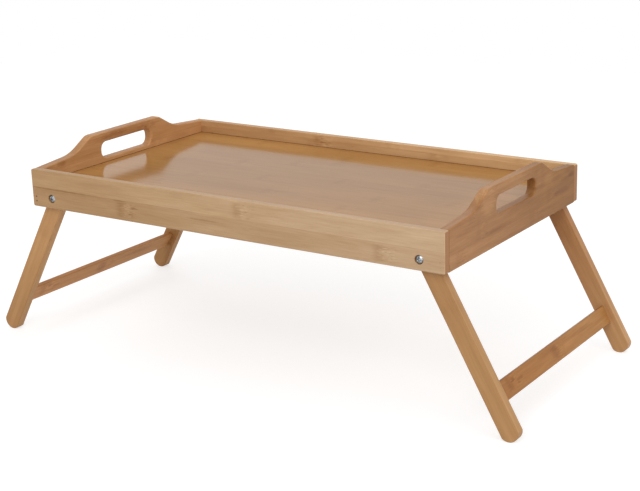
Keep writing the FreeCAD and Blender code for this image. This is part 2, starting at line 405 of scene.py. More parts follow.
def bloom(*sizes: float) -> Mark:
    """A pale spot: along, across, long and wide in millimetres, then its strength."""
    return Mark(*sizes, MarkKind.BLOOM)


def ring_at(*sizes: float) -> Mark:
    """A growth ring, with the numbers of a pale spot."""
    return Mark(*sizes, MarkKind.RING)


@dataclass(frozen=True)
class WallLine:
    """The dark line along a wall's inner face, where the tray's panel meets it: dirt and painted
    contact shade.
    """

    inner_mm: float
    level_mm: float
    tall_mm: float = 0.42

    def mask(self, along: Term, across: Term, through: Term) -> Term:
        """1 in the line and 0 away from it, from a place in the board."""
        inside = abs(through).ease(self.inner_mm + 0.2, self.inner_mm + 0.6, 1.0, 0.0)
        return inside * abs(across - self.level_mm).ease(self.tall_mm * 0.4, self.tall_mm, 1.0, 0.0)


@dataclass(frozen=True)
class BorderLine:
    """The dark line round a panel's visible edge: dirt and painted contact shade where the walls
    meet it.
    """

    half_along_mm: float
    half_across_mm: float
    wide_mm: float = 0.5

    def gap(self, along: Term, across: Term) -> Term:
        """Distance from the nearest edge."""
        return (self.half_along_mm - abs(along)).least(self.half_across_mm - abs(across))

    def mask(self, along: Term, across: Term, through: Term) -> Term:
        """1 in the line and 0 away from it, from a place in the board."""
        return self.gap(along, across).ease(self.wide_mm * 0.3, self.wide_mm, 1.0, 0.0)


@dataclass(frozen=True)
class Bamboo:
    """Laminated bamboo strips under lacquer.

    The tone drifts from one end of the board to the other.  A strip is paler or duskier by
    its number, fine fibres and broad streaks come from noise drawn out along the grain, and
    each strip carries a growth ring every node_gap_mm, out of step with its neighbours'.
    """

    tone: Colour
    far_tone: Colour | None = None
    drift_mm: float = 250.0
    strip_mm: float = 20.0
    strip_start_mm: float = 0.0
    strip_slope: float = 0.0
    node_gap_mm: float = 160.0
    tone_spread: float = 0.9
    streak: float = 1.0
    fibre_depth: float = 0.30
    ring_depth: float = 0.35
    joint_depth: float = 0.30
    roughness: float = 0.50
    specular: float = 0.30
    ior: float = 1.5
    wave_mm: float = 0.0
    # The next two settings paint the rounded edges paler, as wear and a painted highlight, or
    # darker below 0, and paint faces across the width as painted light above 0 and painted shade
    # below 0.
    edge_wear_and_light: float = 0.25
    side_painted_light: float = 0.0
    end_tone: Colour | None = None
    # A panel's tone at its rim, and where it gives way to the middle: painted light and shade.
    rim_light_tone: Colour | None = None
    rim_light_mm: tuple[float, float] = (15.0, 75.0)

    def dress(self, name: str, bed: Bed, seed: float, marks: tuple[Mark, ...] = (),
              line: WallLine | BorderLine | None = None) -> bpy.types.Material:
        """Makes the material of one board.

        Args:
            name: the material's name.
            bed: how the board lies.
            seed: what sets this board's pattern apart; its fraction picks the strips' tones.
            marks: single blemishes.
            line: where dirt and painted contact shade darken the board against a neighbour.

        Returns:
            The finished material.
        """
        material, g = new_material(name)
        along, across, through = bed.place(g)
        face_along, face_across, face_through = bed.facing(g)

        # Strips: number = floor(across / width), tone = fract(step * number + seed).
        lane = (across + along * self.strip_slope + self.strip_start_mm) / self.strip_mm
        number = lane.floor()
        joint_gap = (0.5 - abs(lane.fract() - 0.5)) * self.strip_mm
        tone = (number * TONE_STEP + seed % 1.0).fract()

        # Streaks and fibres: noise squeezed across the grain and drawn out along it.
        bend = g.noise(g.join(along * 0.012, across * 0.06, seed), seed, detail=1.0)
        swayed = (along, across + (bend - 0.5) * SWAY_MM, through)
        cloud = CLOUD.read(g, (along, across, through), seed)
        broad, fine, dash, comb = (p.read(g, swayed, seed) for p in (BROAD, FINE, DASH, COMB))
        stray = g.noise(g.join(across * 0.16, seed, through * 0.1), seed + 4.0)
        wander = (stray - 0.5) * STRAY_MM

        # Colour: each pattern multiplies what is under it.
        colour: Paint = self.tone
        if self.far_tone:
            place = along / (2.0 * self.drift_mm) + 0.5 + (cloud - 0.5) * 0.5
            colour = g.blend(place.ease(0.0, 1.0), self.tone, self.far_tone)
        # Painted light and shade: the panel is paler towards its rim and darker in its middle,
        # evening out the light, which falls more brightly on its middle.
        if self.rim_light_tone and isinstance(line, BorderLine):
            inside = line.gap(along, across).ease(*self.rim_light_mm)
            colour = g.blend(inside, self.rim_light_tone, colour)
        colour = g.shade((tone - 0.5) * self.tone_spread + (broad - 0.5) * (2.4 * self.streak)
                         + (cloud - 0.5) * (1.2 * self.streak), colour)
        flecks = dash.ease(0.60, 0.70)
        dark = fine.ease(0.42, 0.72) + flecks * 1.1
        colour = g.tint(dark * self.fibre_depth, colour, FIBRE)
        colour = g.tint(fine.ease(0.46, 0.30) * (0.8 * self.fibre_depth), colour, PALE)

        # Rings, strip joints and single marks.
        start = g.chance(number, seed + 7.0) * self.node_gap_mm
        step = ((along + start + wander) / self.node_gap_mm).fract()
        away = (step - 0.5) * self.node_gap_mm
        colour = self.ring(g, colour, away, comb, self.ring_depth)
        seam = joint_gap.ease(0.10, 0.60, 1.0, 0.0) * cloud.ease(0.38, 0.62)
        colour = g.tint(seam * self.joint_depth, colour, RING)
        for mark in marks:
            far_along, far_across = along - mark.along_mm, across - mark.across_mm
            if mark.kind is MarkKind.RING:
                reach = abs(far_across + wander * 0.4) / mark.wide_mm
                near = reach.ease(0.6, 1.0, 1.0, 0.0) * mark.strength
                away = (far_along + wander * 0.5) * (RING_LONG_MM / mark.long_mm)
                colour = self.ring(g, colour, away, comb, near)
                continue
            off = (far_along / mark.long_mm) ** 2 + (far_across / mark.wide_mm) ** 2
            spot = (off * -1.0 + (comb - 0.5) * 1.4 + 1.0).ease(0.0, 1.0) * mark.strength
            colour = g.tint(spot, colour, PALE if mark.kind is MarkKind.BLOOM else RING)

        # Sawn ends show the bundles as dots. Rounded edges are duller from sanding wear, and their
        # colour is made paler by wear and a painted highlight, or darker where the edge setting is
        # below 0. Faces that look across the width get painted light where the side setting is
        # above 0, and painted shade where it is below.
        ends = abs(face_along).ease(0.75, 0.95)
        bundles = g.dots(g.join(across * 1.5, through * 1.5, 0.0)).ease(0.18, 0.42, 1.0, 0.0)
        if self.end_tone:
            colour = g.blend(ends, colour, self.end_tone)
        colour = g.tint(ends * bundles * 0.5, colour, FIBRE)
        slant = face_through * face_through
        arris_wear_and_light = (slant * (1.0 - slant) * 4.0).ease(0.25, 0.9)
        edges = arris_wear_and_light * broad.ease(0.25, 0.6, 0.5, 1.0)
        sides = abs(face_across).ease(0.80, 0.97)
        colour = g.shade(edges * self.edge_wear_and_light + sides * self.side_painted_light, colour)
        # Dirt and painted contact shade darken the board along the line where it meets its
        # neighbour.
        if line:
            dirt = line.mask(along, across, through) * comb.ease(0.25, 0.6, 0.6, 1.0)
            colour = g.tint(dirt, colour, SEAM_DIRT_AND_SHADE)

        uneven = fine * 0.10 + comb * 0.05 + edges * 0.10 + ends * 0.15
        roughness = uneven + (self.roughness - 0.08)
        height = fine * 0.35 - flecks * 0.35 - seam * 0.6
        normal = g.bump(height, GRAIN_RELIEF, 0.6)
        if self.wave_mm:
            swell = g.noise(g.join(along * 0.028, across * 0.06, 0.0), seed + 6.0, detail=1.5)
            normal = g.bump(swell * self.wave_mm + height * 0.003, MM, 1.0)
        shader = g.node("ShaderNodeBsdfPrincipled", {}, {
            "Base Color": colour, "Roughness": roughness.most(0.03), "Normal": normal,
            "IOR": self.ior, "Specular IOR Level": self.specular})
        g.finish(shader)
        return material

    def ring(self, g: Graph, colour: Paint, away: Term, comb: Term, depth: Number) -> Term:
        """Draws a growth ring: a dusk before it, then a comb of short pale and dark dashes.

        Args:
            g: the board's graph.
            colour: what is under the ring.
            away: distance past the ring, along the grain.
            comb: the noise that the dashes come from.
            depth: how strong the ring is.

        Returns:
            The colour with the ring.
        """
        dusk = (away + RING_DUSK_MM).bell(RING_DUSK_MM) * 0.65 + away.bell(RING_LINE_MM) * 0.15
        span = away.ease(*DASHES_FROM_MM) * away.ease(*DASHES_TO_MM, 1.0, 0.0)
        dark, light = span * comb.ease(0.54, 0.66), span * comb.ease(0.46, 0.34)
        colour = g.tint((dusk * comb.ease(0.3, 0.5) + dark) * depth, colour, RING)
        return g.tint(light * depth * 1.4, colour, PALE)


@dataclass(frozen=True)
class Steel:
    """Zinc-plated steel: grey, faintly brushed round its axis, with dull dark tarnish in clouds."""

    colour: Colour = (0.46, 0.48, 0.50)
    tarnish: Colour = (0.045, 0.06, 0.07)
    roughness: float = 0.26
    grime: float = 0.9
    metal: float = 1.0

    def dress(self, name: str, seed: float) -> bpy.types.Material:
        """Makes the material of one kind of fastener.

        Args:
            name: the material's name.
            seed: what sets its pattern apart.

        Returns:
            The finished material.
        """
        material, g = new_material(name)
        place = g.split(g.node("ShaderNodeTexCoord", {}, {}, out="Object"))
        cloud, scratch = (p.read(g, place, seed) for p in (ZINC_CLOUD, ZINC_SCRATCH))
        dirt = cloud.ease(0.42, 0.66) * self.grime
        colour = g.blend(dirt, self.colour, self.tarnish)
        roughness = cloud * 0.12 + scratch * 0.10 + dirt * 0.25 + (self.roughness - 0.11)
        normal = g.bump(scratch * 0.6 + cloud * 0.4, FINE_RELIEF, 0.5)
        shader = g.node("ShaderNodeBsdfPrincipled", {}, {
            "Base Color": colour, "Metallic": self.metal, "Roughness": roughness,
            "Normal": normal})
        g.finish(shader)
        return material


@dataclass(frozen=True)
class Nylon:
    """The off-white ring that locks the nut on its screw."""

    colour: Colour = (0.72, 0.71, 0.66)
    mottle: Colour = (0.5, 0.48, 0.42)
    seed: float = 3.0

    def dress(self, name: str) -> bpy.types.Material:
        """Makes the ring's material, faintly mottled.

        Args:
            name: the material's name.

        Returns:
            The finished material.
        """
        material, g = new_material(name)
        place = g.split(g.node("ShaderNodeTexCoord", {}, {}, out="Object"))
        cloud = NYLON_CLOUD.read(g, place, self.seed)
        colour = g.blend(cloud.ease(0.4, 0.7) * 0.4, self.colour, self.mottle)
        shader = g.node("ShaderNodeBsdfPrincipled", {}, {
            "Base Color": colour, "Roughness": cloud * 0.2 + 0.35,
            "Normal": g.bump(cloud, FINE_RELIEF, 0.5)})
        g.finish(shader)
        return material


# ---------- Surfaces ----------
def turns(columns: int) -> np.ndarray:
    """Angles evenly round a circle."""
    return np.linspace(0.0, 2 * np.pi, columns, endpoint=False)


def add_object(name: str, data: bpy.types.ID) -> bpy.types.Object:
    """Puts a new object into the scene.

    Args:
        name: the object's name.
        data: the mesh, lamp or camera that it shows.

    Returns:
        The object, at the origin.
    """
    added = bpy.data.objects.new(name, data)
    bpy.context.scene.collection.objects.link(added)
    return added


def rounded_path(corners: list[tuple[float, float]], reach: float,
                 steps: int = 5) -> np.ndarray:
    """Rounds the corners of an open path.

    Each inner corner P between its neighbours A and B becomes the curve
    (1-t)^2 a + 2t(1-t) P + t^2 b, where a and b lie reach before and after P, or half-way
    along a shorter side.

    Args:
        corners: the path's corners, (radius, distance along the axis).
        reach: how far before and after a corner its rounding starts.
        steps: points per rounding.

    Returns:
        The rounded path, one point per row.
    """
    p = np.array(corners, dtype=float)
    side = np.diff(p, axis=0)
    length = np.linalg.norm(side, axis=1, keepdims=True)
    cut = np.minimum(reach, length / 2.05) / length
    a = p[1:-1] - side[:-1] * cut[:-1]
    b = p[1:-1] + side[1:] * cut[1:]
    t = np.linspace(0.0, 1.0, steps)[None, :, None]
    bends = (1 - t) ** 2 * a[:, None] + 2 * t * (1 - t) * p[1:-1, None] + t ** 2 * b[:, None]
    return np.vstack([p[:1], bends.reshape(-1, 2), p[-1:]])


@dataclass(frozen=True)
class Sheet:
    """A grid of points (rows, columns, 3) that closes round its columns, and maybe its rows."""

    points: np.ndarray
    rows_close: bool = False
    finish: int = 0

    def faces(self) -> np.ndarray:
        """Joins neighbouring rows and columns.

        Returns:
            The four corner numbers of each quadrilateral.
        """
        rows, columns = self.points.shape[:2]
        i = np.arange(rows if self.rows_close else rows - 1)[:, None]
        j = np.arange(columns)[None, :]
        below, beside = (i + 1) % rows, (j + 1) % columns
        this, under = i * columns, below * columns
        quads = [this + j, under + j, under + beside, this + beside]
        return np.stack(quads, axis=-1).reshape(-1, 4)


def mesh_piece(name: str, sheets: list[Sheet], materials: list[bpy.types.Material],
               sharp: float) -> bpy.types.Object:
    """Makes one object from closed sheets.

    Args:
        name: the object's name.
        sheets: its surfaces; a pole is a row whose points all meet.
        materials: what the sheets' finish numbers stand for.
        sharp: the angle, in degrees, past which an edge is drawn sharp.

    Returns:
        The object, at the origin, with its doubles merged and its faces outwards.
    """
    starts = np.cumsum([0] + [s.points.shape[0] * s.points.shape[1] for s in sheets[:-1]])
    points = np.vstack([s.points.reshape(-1, 3) for s in sheets])
    faces = np.vstack([s.faces() + start for s, start in zip(sheets, starts)])
    finish = np.concatenate([np.full(len(s.faces()), s.finish) for s in sheets])
    mesh = bpy.data.meshes.new(name)
    mesh.vertices.add(len(points))
    mesh.vertices.foreach_set("co", points.astype(np.float32).ravel())
    mesh.loops.add(faces.size)
    mesh.loops.foreach_set("vertex_index", faces.astype(np.int32).ravel())
    mesh.polygons.add(len(faces))
    mesh.polygons.foreach_set("loop_start", np.arange(0, faces.size, 4, dtype=np.int32))
    mesh.polygons.foreach_set("material_index", finish.astype(np.int32))
    for material in materials:
        mesh.materials.append(material)
    mesh.update(calc_edges=True)
    tidy = bmesh.new()
    tidy.from_mesh(mesh)
    bmesh.ops.remove_doubles(tidy, verts=tidy.verts, dist=1e-7)
    bmesh.ops.dissolve_degenerate(tidy, edges=tidy.edges, dist=1e-8)
    bmesh.ops.recalc_face_normals(tidy, faces=tidy.faces)
    tidy.to_mesh(mesh)
    tidy.free()
    mesh.shade_smooth()
    mesh.set_sharp_from_angle(angle=math.radians(sharp))
    return add_object(name, mesh)


@dataclass(frozen=True)
class Axis:
    """The line through a pivot: its place, and the way its screw's head looks."""

    x: float
    z: float
    outward: int

    def turned(self, radius: np.ndarray, height: np.ndarray, columns: int,
               lift: np.ndarray | None = None) -> np.ndarray:
        """Carries a profile round the axis.

        x = x0 + r cos(turn), y = outward * height, z = z0 + r sin(turn).

        Args:
            radius: distance from the axis, per row, or per row and column.
            height: distance from the tray's middle plane, per row.
            columns: points round the axis.
            lift: what to add to the height, per row and column.

        Returns:
            The grid of points.
        """
        turn = turns(columns)
        radius = radius if radius.ndim == 2 else np.repeat(radius[:, None], columns, axis=1)
        height = np.repeat(height[:, None], columns, axis=1) + (0.0 if lift is None else lift)
        return np.stack([self.x + radius * np.cos(turn), self.outward * height,
                         self.z + radius * np.sin(turn)], axis=-1)


# ---------- Sub-assemblies ----------
def coat(node: str, material: bpy.types.Material) -> None:
    """Puts a material on every slot of a CAD node."""
    for held in frame["nodes"][node].material_slots:
        held.material = material


# Single marks on the boards, in each board's own millimetres.
FRONT_RAIL_MARKS = (
    ring_at(-124, 12, 9, 10, 0.8), ring_at(24, 30, 9, 9, 0.7), ring_at(184, 11, 9, 10, 0.7),
    bloom(-118, 16, 8, 2, 0.7), Mark(-110, 14.5, 8, 1.3, 0.7), Mark(-205, 21, 55, 1.3, 0.7),
    Mark(-22, 14.5, 26, 1.2, 0.6), Mark(-130, 20.5, 12, 1.2, 0.5), bloom(-30, 21, 30, 2.5, 0.5))
BACK_RAIL_MARKS = (ring_at(-67, 33, 9, 7, 0.9),)
# The left board's pale spot is a painted highlight on the rounded edge at the far end of its hand
# slot.
LEFT_BOARD_MARKS = (
    Mark(0, 54, 64, 10, 0.6), Mark(-106, 39, 9, 4, 0.6), Mark(33, 52, 3, 2, 0.7),
    bloom(44, 40, 2, 6, 0.6), Mark(-20, 54, 30, 3, 0.4), Mark(90, 30, 25, 6, 0.3))
# The right board's pale spots are partly its own blotches and partly painted light: they make it
# paler towards its handle bar and paint a highlight on the rounded edge near its front shoulder.
RIGHT_BOARD_MARKS = (
    bloom(62, 46, 24, 10, 0.7), bloom(88, 38, 28, 12, 0.9), bloom(-10, 54, 56, 9, 0.9),
    bloom(-18, 54, 66, 13, 0.6), bloom(-58, 52, 20, 19, 0.8), bloom(-60, 46, 17, 15, 0.8),
    bloom(64, 42, 28, 24, 0.8), Mark(126, 33, 9, 4, 0.7), Mark(104, 20, 26, 4, 0.5),
    Mark(92, 36, 18, 4, 0.45), Mark(-40, 16, 40, 4, 0.4), Mark(-100, 30, 30, 3, 0.35),
    Mark(10, 27, 35, 4, 0.35))
# The panel's first pale spot is painted light that lifts its back left corner out of the walls'
# shade.
PANEL_MARKS = (bloom(-140, 118, 130, 24, 0.8), bloom(120, -80, 170, 100, 0.3))
STRETCHER_MARKS = (
    ring_at(-96, 2, 9, 9, 0.9), Mark(-92, 4, 4, 3, 0.8), Mark(-80, 1, 8, 2, 0.6),
    ring_at(2, -1, 10, 11, 0.45), Mark(-4, 1, 10, 8, 0.45), Mark(60, 3, 30, 3, 0.4))


@dataclass
class Tray:
    """The shallow tray: two rails, two end boards with hand slots, and the glossy panel."""

    sawn: Colour = paint(161, 116, 78)

    def build(self) -> list[str]:
        """Dresses the tray's boards.

        Returns:
            The names of the dressed nodes.
        """
        low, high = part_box("front_rail")
        bottom, inner = low.z / MM, abs(high.y) / MM
        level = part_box("tray_panel")[1].z / MM - bottom
        board = abs(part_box("right_end_board")[0].x) / MM
        rail_line, board_line = WallLine(inner, level), WallLine(board, level)
        rail_bed, end_bed = (Bed(lie, (0, 0, bottom)) for lie in (Lie.RAIL, Lie.END_BOARD))
        # A side setting below 0 paints each board's top and bottom faces darker: painted shade.
        front = Bamboo(tone=paint(171, 135, 94), far_tone=paint(185, 154, 120),
                       strip_start_mm=-1.0, strip_slope=0.002, ring_depth=0.0, streak=0.9,
                       fibre_depth=0.27, joint_depth=0.5, end_tone=self.sawn, side_painted_light=-0.35)
        back = Bamboo(tone=paint(184, 141, 96), far_tone=paint(204, 165, 119),
                      strip_start_mm=6.0, streak=1.2, end_tone=self.sawn, side_painted_light=-0.2)
        left = Bamboo(tone=paint(181, 133, 86), far_tone=paint(194, 143, 94), drift_mm=134.0,
                      strip_start_mm=5.0, node_gap_mm=150.0, streak=1.2, side_painted_light=-1.0)
        right = replace(left, tone=paint(160, 114, 72), far_tone=paint(140, 94, 46),
                        streak=1.4, specular=0.25, side_painted_light=-0.1)
        sheet = Bamboo(tone=paint(158, 114, 64), rim_light_tone=paint(175, 127, 72), strip_mm=22.0,
                       node_gap_mm=230.0, roughness=0.13, specular=0.5, ior=1.22,
                       wave_mm=0.06, tone_spread=0.45, joint_depth=0.15, fibre_depth=0.12,
                       streak=0.6, edge_wear_and_light=0.0)
        boards = (
            ("front_rail", front, rail_bed, 11.2, FRONT_RAIL_MARKS, rail_line),
            ("back_rail", back, rail_bed, 23.7, BACK_RAIL_MARKS, rail_line),
            ("left_end_board", left, end_bed, 31.1, LEFT_BOARD_MARKS, board_line),
            ("right_end_board", right, end_bed, 47.9, RIGHT_BOARD_MARKS, board_line),
            ("tray_panel", sheet, Bed(Lie.PANEL), 59.2, PANEL_MARKS, BorderLine(board, inner)))
        for node, finish, bed, seed, marks, line in boards:
            name = node.replace("_end", "") + "_bamboo"
            coat(node, finish.dress(name, bed, seed, marks, line))
        return [row[0] for row in boards]


@dataclass
class LegPair:
    """Two legs and the stretcher between them, on one side of the tray."""

    side: str
    seed: float
    front: tuple[Colour, Colour]
    back: tuple[Colour, Colour]
    bar: tuple[Colour, Colour]
    back_seed: float = 4.4
    bar_seed: float = 8.8

    def build(self) -> list[str]:
        """Dresses the two legs, foot to top, and their stretcher, front to back.

        Returns:
            The names of the dressed nodes.
        """
        joint = next(j for j in frame["joints"] if j["name"] == self.side + "_legs_fold")
        pivot = Vector(joint["pos_m"]) / MM
        sign = 1 if pivot.x > 0 else -1
        splay = math.radians(joint["range_deg"][1] - 90.0)
        half = pivot.z / math.cos(splay) / 2
        middle = pivot + half * Vector((sign * math.sin(splay), 0.0, -math.cos(splay)))
        bed = Bed(Lie.LEG, tuple(middle), sign * splay)
        # The stretcher's top and bottom faces are painted darker: painted shade under the tray.
        bar = Bamboo(tone=self.bar[0], far_tone=self.bar[1], drift_mm=120.0, strip_mm=24.0,
                     strip_start_mm=12.0, node_gap_mm=90.0, ring_depth=0.0, streak=1.2,
                     side_painted_light=-0.8)
        names = []
        for row, (foot, top), shift in (("front", self.front, 0.0),
                                        ("back", self.back, self.back_seed)):
            node = f"{row}_{self.side}_leg"
            # The legs' side faces are painted paler, as painted light, and their edges darker.
            leg = Bamboo(tone=foot, far_tone=top, drift_mm=95.0, strip_mm=24.0,
                         strip_start_mm=12.0, fibre_depth=0.22, ring_depth=0.2,
                         edge_wear_and_light=-0.7, side_painted_light=0.7)
            coat(node, leg.dress(node + "_bamboo", bed, self.seed + shift))
            names.append(node)
        node = self.side + "_stretcher"
        low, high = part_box(node)
        bed = Bed(Lie.STRETCHER, tuple((low + high) / 2 / MM), sign * splay)
        coat(node, bar.dress(node + "_bamboo", bed, self.seed + self.bar_seed, STRETCHER_MARKS))
        return names + [node]


@dataclass
class PivotHardware:
    """Screw, two washers and lock nut at one pivot, finer than the solids they stand for.

    drive_rise, nut_crest, nut_face and nut_slope are ratios.
    """

    corner: str
    steel: bpy.types.Material
    washer_steel: bpy.types.Material
    nylon: bpy.types.Material
    head_radius: float = 0.0040
    head_height: float = 0.0025
    head_rim: float = 0.0010
    head_bend: float = 0.00015
    head_columns: int = 160
    drive_span: float = 0.0044
    drive_width: float = 0.0009
    drive_depth: float = 0.0014
    drive_soft: float = 0.00012
    drive_rise: float = 0.25
    shank_radius: float = 0.0020
    shank_columns: int = 48
    thread_pitch: float = 0.0007
    thread_depth: float = 0.00030
    thread_start: float = 0.0003
    thread_end: float = 0.0085
    thread_stop: float = 0.0080
    thread_fade: float = 0.0010
    thread_rows: int = 150
    tip_height: float = 0.0006
    tip_chamfer: float = 0.00035
    tip_face: float = 0.00045
    washer_radius: float = 0.0045
    washer_bend: float = 0.00018
    washer_columns: int = 72
    nut_flats: float = 0.0070
    nut_crest: float = 0.985
    nut_face: float = 0.96
    nut_slope: float = 1.7
    nut_columns: int = 144
    nut_rows: int = 24
    collar_radius: float = 0.0031
    collar_height: float = 0.0016
    collar_foot: float = 0.0002
    collar_bend: float = 0.0003
    ring_width: float = 0.0007
    ring_height: float = 0.0004
    ring_sunk: float = 0.00015
    ring_bend: float = 0.0002
    gap: float = 0.0001
    hair: float = 0.00002

    def build(self) -> list[str]:
        """Makes the four fasteners and lets them ride on the tray.

        Returns:
            The names of the new pieces.
        """
        low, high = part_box(self.corner + "_pivot_bolt")
        outward = -1 if self.corner.startswith("front") else 1
        axis = Axis((low.x + high.x) / 2, (low.z + high.z) / 2, outward)
        made = [(self.screw(axis, *self.span("pivot_bolt")), "pivot_bolt", "bolt_steel")]
        made += [(self.washer(axis, kind, *self.span(kind)), kind, "washer_steel")
                 for kind in ("spacer_washer", "inner_washer")]
        made += [(self.nut(axis, *self.span("lock_nut")), "lock_nut", "nut_steel")]
        for piece, node, slot in made:
            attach(piece, "tray")
            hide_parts(f"{self.corner}_{node}")
        return [piece.name for piece, _, _ in made]

    def span(self, kind: str) -> list[float]:
        """Where a fastener begins and ends, from the tray's middle outwards."""
        return sorted(abs(end.y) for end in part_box(f"{self.corner}_{kind}"))

    def screw(self, axis: Axis, tip: float, top: float) -> bpy.types.Object:
        """Domed cross-head screw.

        The head's height over its seat is a sphere's cap, less drive_depth inside the cross
        min(|x|,|z|) < width/2, max(|x|,|z|) < span/2, with softened walls.

        Args:
            axis: the pivot.
            tip: the far end of the shank, from the tray's middle.
            top: the crown of the head.

        Returns:
            The screw.
        """
        crown = self.head_height - self.head_rim
        ball = (self.head_radius ** 2 + crown ** 2) / (2 * crown)
        seat = top - self.head_height
        # Rows as shares of the radius: fine ones over the cross, then coarser ones.
        share = np.concatenate([np.linspace(0.0, 0.62, 44), np.linspace(0.65, 0.97, 10)])
        r = share * self.head_radius
        cap = top - ball + np.sqrt(ball ** 2 - r ** 2)
        turn = turns(self.head_columns)
        x, z = np.abs(r[:, None] * np.cos(turn)), np.abs(r[:, None] * np.sin(turn))
        near, far = np.minimum(x, z), np.maximum(x, z)

        def step(value: np.ndarray, edge: float) -> np.ndarray:
            """1 inside the edge and 0 outside, falling over twice the softness."""
            return np.clip((edge - value) / (2 * self.drive_soft) + 0.5, 0.0, 1.0)

        cross = step(near, self.drive_width / 2) * step(far, self.drive_span / 2)
        taper = 1.0 - self.drive_rise * np.clip(far / (self.drive_span / 2), 0, 1) ** 2
        rim = rounded_path([(r[-1], cap[-1]), (self.head_radius, top - crown - self.gap),
                            (self.head_radius, seat), (self.shank_radius, seat), (0.0, seat)],
                           self.head_bend)
        radius = np.concatenate([r, rim[1:, 0]])
        height = np.concatenate([cap, rim[1:, 1]])
        lift = np.vstack([-self.drive_depth * cross * taper,
                          np.zeros((len(rim) - 1, self.head_columns))])
        head = Sheet(axis.turned(radius, height, self.head_columns, lift))
        return mesh_piece(self.corner + "_cross_head_screw", [head, self.shank(axis, tip, seat)],
                          [self.steel], 40.0)

    def shank(self, axis: Axis, tip: float, seat: float) -> Sheet:
        """A screw's shank, with a rolled thread and a chamfer at its far end.

        The thread's radius is shank - depth * |2 fract(height/pitch - turn/2pi) - 1|.

        Args:
            axis: the pivot.
            tip: the far end, from the tray's middle.
            seat: the underside of the head.

        Returns:
            The shank's surface.
        """
        turn = turns(self.shank_columns)[None, :]
        h = np.linspace(tip + self.thread_start, tip + self.thread_end, self.thread_rows)
        wave = np.abs(2 * np.mod(h[:, None] / self.thread_pitch - turn / (2 * np.pi), 1.0) - 1)
        rise = np.clip((h - tip) / self.tip_height, 0, 1)[:, None]
        fade = np.clip((tip + self.thread_stop - h) / self.thread_fade, 0, 1)[:, None] * rise
        threads = np.minimum(self.shank_radius - self.thread_depth * wave * fade,
                             self.shank_radius - self.tip_chamfer * (1 - rise))
        pole = np.zeros((1, self.shank_columns))
        radius = np.vstack([pole, pole + self.shank_radius - self.tip_face, threads,
                            pole + self.shank_radius, pole])
        height = np.concatenate([[tip, tip + self.hair], h, [seat + self.gap] * 2])
        return Sheet(axis.turned(radius, height, self.shank_columns))

    def washer(self, axis: Axis, kind: str, low: float, high: float) -> bpy.types.Object:
        """Stamped washer: a ring whose section is a rectangle with rounded corners.

        Args:
            axis: the pivot.
            kind: which washer it is.
            low, high: its two faces, from the tray's middle.

        Returns:
            The washer.
        """
        inner, outer, middle = self.shank_radius + self.gap, self.washer_radius, (low + high) / 2
        path = rounded_path([(inner, middle), (inner, high), (outer, high), (outer, low),
                             (inner, low), (inner, middle)], self.washer_bend, 4)
        ring = Sheet(axis.turned(path[:-1, 0], path[:-1, 1], self.washer_columns),
                     rows_close=True)
        return mesh_piece(f"{self.corner}_{kind}_ring", [ring], [self.washer_steel], 50.0)

    def nut(self, axis: Axis, low: float, high: float) -> bpy.types.Object:
        """Hexagon lock nut with chamfered corners, a round collar and its nylon ring.

        The hexagon's radius is flats / (2 cos(turn mod 60 - 30)), limited by the chamfer
        cone, whose radius falls by nut_slope for each unit of height towards either end.

        Args:
            axis: the pivot.
            low, high: the nut's two ends, from the tray's middle.

        Returns:
            The nut.
        """
        columns, bore, base = self.nut_columns, self.shank_radius, low + self.collar_height
        flat = self.nut_flats / 2
        turn = turns(columns)[None, :]
        hexagon = flat / np.cos(np.mod(turn, math.pi / 3) - math.pi / 6)
        h = np.linspace(high - self.hair, base + self.hair, self.nut_rows)
        cone = flat * self.nut_crest + self.nut_slope * np.minimum(high - h, h - base)[:, None]
        foot, lip = self.collar_foot, bore + self.ring_width
        collar = rounded_path([(self.collar_radius + foot, base),
                               (self.collar_radius, base - foot), (self.collar_radius, low),
                               (lip, low), (lip, low + foot)], self.collar_bend, 6)
        pole = np.zeros((1, columns))
        radius = np.vstack([pole + bore, pole + flat * self.nut_face, np.minimum(hexagon, cone),
                            np.repeat(collar[:, :1], columns, axis=1), pole + bore])
        height = np.concatenate([[high, high], h, collar[:, 1], [low + foot]])
        shell = Sheet(axis.turned(radius, height, columns), rows_close=True)
        start = low + self.ring_sunk
        end = start + self.ring_height
        path = rounded_path([(bore, end), (bore, start), (lip, start), (lip, end)],
                            self.ring_bend, 5)
        ring = Sheet(axis.turned(path[:, 0], path[:, 1], self.washer_columns),
                     rows_close=True, finish=1)
        return mesh_piece(self.corner + "_hexagon_lock_nut", [shell, ring],
                          [self.steel, self.nylon], 30.0)


@dataclass
class CornerNails:
    """The pairs of nails that hold the rails to the end boards."""

    def build(self) -> list[str]:
        """Leaves the front left nails bare and brown, and hides the others under putty.

        Returns:
            The names of the dressed nodes.
        """
        wire = Steel(colour=(0.14, 0.075, 0.03), tarnish=(0.06, 0.035, 0.015), roughness=0.8,
                     grime=0.6, metal=0.0)
        putty = replace(wire, colour=(0.46, 0.31, 0.18), tarnish=(0.24, 0.15, 0.08))
        bare, hidden = wire.dress("nail_wire", 5.0), putty.dress("nail_putty", 6.0)
        names = [c + "_corner_nails" for c in CORNERS]
        for node in names:
            coat(node, bare if node.startswith("front_left") else hidden)
        return names


# ---------- Studio ----------
@dataclass(frozen=True)
class Lamp:
    """A square soft lamp."""

    name: str
    place: Point
    watts: float
    aim: Point = (0.0, 0.0, 0.15)
    size: float = 1.6

    def build(self) -> None:
        """Hangs the lamp and turns it towards its aim."""
        data = bpy.data.lights.new(self.name, "AREA")
        data.size, data.energy, data.shape = self.size, self.watts, "SQUARE"
        lamp = add_object(self.name, data)
        lamp.location = self.place
        view = Vector(self.aim) - Vector(self.place)
        lamp.rotation_euler = view.to_track_quat("-Z", "Y").to_euler()


LAMPS = (Lamp("key", (0.6, -2.1, 1.6), 26.0), Lamp("side", (2.2, -0.6, 1.2), 14.5),
         Lamp("rear", (-1.3, 1.6, 2.1), 11.0))
WHITE = (1.0, 1.0, 1.0)


